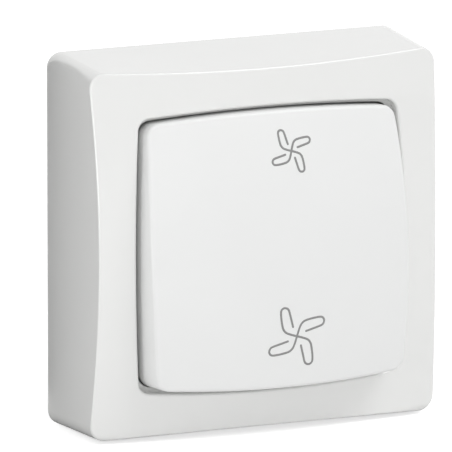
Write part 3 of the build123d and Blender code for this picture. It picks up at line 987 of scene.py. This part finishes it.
# %% [markdown]
# ## Screws with real threads
# The solids of the screws are plain shanks with a slotted head. A real one has a thread, a
# chamfered head and a tapered tip, and no two slots end up at the same angle. All screws follow
# one rule, so one tree makes them from their places: a core, a ridge wound round it, and a head
# with its slot cut out.

# %% Tree: slotted screws
screw_tree, given, result = new_group(
    "Slotted screws",
    "GeometryNodeTree",
    [
        ("Places", "NodeSocketGeometry", None),
        ("Head radius", "NodeSocketFloat", 2.5),
        ("Head height", "NodeSocketFloat", 1.8),
        ("Thread radius", "NodeSocketFloat", 1.6),
        ("Thread height", "NodeSocketFloat", 0.25),
        ("Pitch", "NodeSocketFloat", 0.6),
        ("Length", "NodeSocketFloat", 5.2),
        ("Slot width", "NodeSocketFloat", 0.8),
        ("Slot depth", "NodeSocketFloat", 0.9),
        ("Seed", "NodeSocketInt", 3),
        ("Metal", "NodeSocketMaterial", None),
    ],
    [("Geometry", "NodeSocketGeometry")],
)
screw_tree.is_modifier = True


def lifted(tree, geometry, height):
    """Geometry moved along Z by a height."""
    offset = add_node(tree, "ShaderNodeCombineXYZ", {"Z": height}).outputs[0]
    moved = add_node(tree, "GeometryNodeTransform", {"Geometry": geometry, "Translation": offset})
    return moved.outputs[0]


def share(tree, value, part):
    """A socket's value times a plain number."""
    return math_node(tree, "MULTIPLY", value, part)


head_sides = 48
side_share = 0.75
rim_share = 0.86
bar_length_share = 3.0
bar_height_share = 2.0
side_height = share(screw_tree, given["Head height"], side_share)
head_side = add_node(
    screw_tree,
    "GeometryNodeMeshCylinder",
    {"Vertices": head_sides, "Radius": given["Head radius"], "Depth": side_height},
).outputs["Mesh"]
head_rim = add_node(
    screw_tree,
    "GeometryNodeMeshCone",
    {
        "Vertices": head_sides,
        "Radius Top": share(screw_tree, given["Head radius"], rim_share),
        "Radius Bottom": given["Head radius"],
        "Depth": share(screw_tree, given["Head height"], 1 - side_share),
    },
).outputs["Mesh"]
head = add_node(
    screw_tree,
    "GeometryNodeMeshBoolean",
    {"Mesh 2": lifted(screw_tree, head_side, share(screw_tree, side_height, 0.5))},
    operation="UNION",
    solver="EXACT",
)
screw_tree.links.new(lifted(screw_tree, head_rim, side_height), head.inputs["Mesh 2"])
bar_size = add_node(
    screw_tree,
    "ShaderNodeCombineXYZ",
    {
        "X": share(screw_tree, given["Head radius"], bar_length_share),
        "Y": given["Slot width"],
        "Z": share(screw_tree, given["Slot depth"], bar_height_share),
    },
).outputs[0]
slot_bar = add_node(screw_tree, "GeometryNodeMeshCube", {"Size": bar_size}).outputs["Mesh"]
slotted = add_node(
    screw_tree,
    "GeometryNodeMeshBoolean",
    {"Mesh 1": head.outputs[0], "Mesh 2": lifted(screw_tree, slot_bar, given["Head height"])},
    operation="DIFFERENCE",
    solver="EXACT",
).outputs[0]

# %% Tree: core, tip and thread of a screw
core_sides = 32
tip_share = 0.45
turn_steps = 24
ridge_sides = 4
core_radius = math_node(screw_tree, "SUBTRACT", given["Thread radius"], given["Thread height"])
core_length = math_node(screw_tree, "SUBTRACT", given["Length"], core_radius)
core = add_node(
    screw_tree,
    "GeometryNodeMeshCylinder",
    {"Vertices": core_sides, "Radius": core_radius, "Depth": core_length},
).outputs["Mesh"]
tip = add_node(
    screw_tree,
    "GeometryNodeMeshCone",
    {
        "Vertices": core_sides,
        "Radius Top": core_radius,
        "Radius Bottom": share(screw_tree, core_radius, tip_share),
        "Depth": core_radius,
    },
).outputs["Mesh"]
thread_length = math_node(screw_tree, "SUBTRACT", core_length, given["Pitch"])
winding = add_node(
    screw_tree,
    "GeometryNodeCurveSpiral",
    {
        "Resolution": turn_steps,
        "Rotations": math_node(screw_tree, "DIVIDE", thread_length, given["Pitch"]),
        "Start Radius": core_radius,
        "End Radius": core_radius,
        "Height": thread_length,
    },
).outputs[0]
ridge_section = add_node(
    screw_tree,
    "GeometryNodeCurvePrimitiveCircle",
    {"Resolution": ridge_sides, "Radius": given["Thread height"]},
).outputs[0]
facing_out = add_node(
    screw_tree, "GeometryNodeSetCurveNormal", {"Curve": winding}, mode="Z_UP"
).outputs[0]
thread = add_node(
    screw_tree,
    "GeometryNodeCurveToMesh",
    {"Curve": facing_out, "Profile Curve": ridge_section, "Fill Caps": True},
).outputs[0]
screw = add_node(screw_tree, "GeometryNodeJoinGeometry", {0: slotted})
for piece, height in (
    (core, share(screw_tree, core_length, -0.5)),
    (tip, share(screw_tree, given["Length"], -1.0)),
    (thread, share(screw_tree, core_length, -1.0)),
):
    screw_tree.links.new(lifted(screw_tree, piece, height), screw.inputs[0])

# %% Tree: one screw at every place
slot_angle = add_node(
    screw_tree, "FunctionNodeRandomValue", {"Max": pi, "Seed": given["Seed"]}, data_type="FLOAT"
).outputs["Value"]
screws = add_node(
    screw_tree,
    "GeometryNodeInstanceOnPoints",
    {
        "Points": given["Places"],
        "Instance": screw.outputs[0],
        "Rotation": add_node(screw_tree, "ShaderNodeCombineXYZ", {"Z": slot_angle}).outputs[0],
    },
).outputs[0]
placed = add_node(
    screw_tree,
    "GeometryNodeTransform",
    {"Geometry": screws, "Rotation": (pi / 2, 0, 0), "Scale": (MM, MM, MM)},
).outputs[0]
real = add_node(screw_tree, "GeometryNodeRealizeInstances", {0: placed}).outputs[0]
plated = add_node(
    screw_tree, "GeometryNodeSetMaterial", {"Geometry": real, "Material": given["Metal"]}
).outputs[0]
screw_tree.links.new(plated, result["Geometry"])

# %% [markdown]
# A screw's place is where its head sits: how far it is to the right, how far up, and how far
# from the wall. The three clamp screws are captive in the mechanism, and the two plate screws
# hold the steel plate on the base's posts.


# %% Clamp screws and plate screws
def places(name, spots):
    """Mesh of loose points, in millimetres: right, up and depth from the wall."""
    mesh = bpy.data.meshes.new(name)
    mesh.from_pydata(spots, [], [])
    return mesh


clamp_side = 14.5
clamp_height = 9.0
clamp_depth = 15.6
clamp_spots = [
    (-clamp_side, -clamp_height, clamp_depth),
    (-clamp_side, clamp_height, clamp_depth),
    (clamp_side, 0.0, clamp_depth),
]
clamp_screws = run_tree(
    "clamp_screws",
    screw_tree,
    places("clamp_screw_places", clamp_spots),
    {"Length": 5.2, "Seed": 3, "Metal": screw_zinc},
)
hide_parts("terminal_screws")
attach(clamp_screws, "switch_base")

plate_side = 30.0
plate_depth = 17.0
plate_spots = [(-plate_side, 0.0, plate_depth), (plate_side, 0.0, plate_depth)]
base_screws = run_tree(
    "base_screws",
    screw_tree,
    places("base_screw_places", plate_spots),
    {
        "Head radius": 2.9,
        "Head height": 1.6,
        "Thread radius": 1.25,
        "Thread height": 0.22,
        "Pitch": 1.0,
        "Length": 8.9,
        "Seed": 8,
        "Metal": screw_zinc,
    },
)
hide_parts("plate_screws")
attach(base_screws, "switch_base")

# %% [markdown]
# ## The wound spring
# A compression spring has closed ends: its last turns lie almost on each other, and the pitch
# opens up towards the middle. A helix of one pitch can't show that. The tree bends a straight
# line of points into the coil, and mixes an even rise with a slow start and stop.

# %% Tree: coil spring with closed ends
coil_steps = 220
wire_sides = 14
spring_tree, given, result = new_group(
    "Coil spring",
    "GeometryNodeTree",
    [
        ("Turns", "NodeSocketFloat", 7.0),
        ("Coil radius", "NodeSocketFloat", 1.5),
        ("Wire radius", "NodeSocketFloat", 0.22),
        ("Length", "NodeSocketFloat", 5.9),
        ("Closing", "NodeSocketFloat", 0.42),
        ("Place", "NodeSocketVector", (0, 0, 0)),
        ("Turn", "NodeSocketVector", (0, 0, 0)),
        ("Metal", "NodeSocketMaterial", None),
    ],
    [("Geometry", "NodeSocketGeometry")],
)
spring_tree.is_modifier = True
straight = add_node(spring_tree, "GeometryNodeCurvePrimitiveLine").outputs[0]
points = add_node(
    spring_tree, "GeometryNodeResampleCurve", {"Curve": straight, "Count": coil_steps}
).outputs[0]
along = add_node(spring_tree, "GeometryNodeSplineParameter").outputs["Factor"]
slow = add_node(
    spring_tree, "ShaderNodeMapRange", {"Value": along}, interpolation_type="SMOOTHSTEP"
).outputs[0]
rise = add_node(
    spring_tree, "ShaderNodeMix", {0: given["Closing"], 2: along, 3: slow}, data_type="FLOAT"
).outputs[0]
clear = math_node(spring_tree, "MULTIPLY_ADD", given["Wire radius"], -2.0, given["Length"])
level = math_node(spring_tree, "MULTIPLY_ADD", rise, clear, given["Wire radius"])
angle = share(spring_tree, math_node(spring_tree, "MULTIPLY", along, given["Turns"]), tau)
x, y = (
    math_node(spring_tree, "MULTIPLY", math_node(spring_tree, wave, angle), given["Coil radius"])
    for wave in ("COSINE", "SINE")
)
wound = add_node(spring_tree, "ShaderNodeCombineXYZ", {"X": x, "Y": y, "Z": level}).outputs[0]
coil = add_node(
    spring_tree, "GeometryNodeSetPosition", {"Geometry": points, "Position": wound}
).outputs[0]
section = add_node(
    spring_tree,
    "GeometryNodeCurvePrimitiveCircle",
    {"Resolution": wire_sides, "Radius": given["Wire radius"]},
).outputs[0]
wire = add_node(
    spring_tree,
    "GeometryNodeCurveToMesh",
    {"Curve": coil, "Profile Curve": section, "Fill Caps": True},
).outputs[0]
placed = add_node(
    spring_tree,
    "GeometryNodeTransform",
    {
        "Geometry": wire,
        "Translation": given["Place"],
        "Rotation": given["Turn"],
        "Scale": (MM, MM, MM),
    },
).outputs[0]
real = add_node(spring_tree, "GeometryNodeRealizeInstances", {0: placed}).outputs[0]
drawn = add_node(
    spring_tree, "GeometryNodeSetMaterial", {"Geometry": real, "Material": given["Metal"]}
).outputs[0]
spring_tree.links.new(drawn, result["Geometry"])

# %% Spring between the plunger and the end of its bore
plunger_end = 22.05
wound_spring = run_tree(
    "wound_spring",
    spring_tree,
    line_mesh,
    {"Place": tuple(on_key(plunger_end)), "Turn": key_turn, "Metal": spring_wire},
)
wound_spring.data.shade_smooth()
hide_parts("plunger_spring")
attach(wound_spring, "key")

# %% [markdown]
# ## Sizes before and after
# The dressed switch must keep the size of its solids. The box measured at the start and the box
# of everything shown now are written side by side.

# %% Compare the boxes
dressed_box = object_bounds()
for label, box in (("solids", solid_box), ("dressed", dressed_box)):
    print(label, [round((high - low) / MM, 2) for low, high in zip(*box)], "mm")
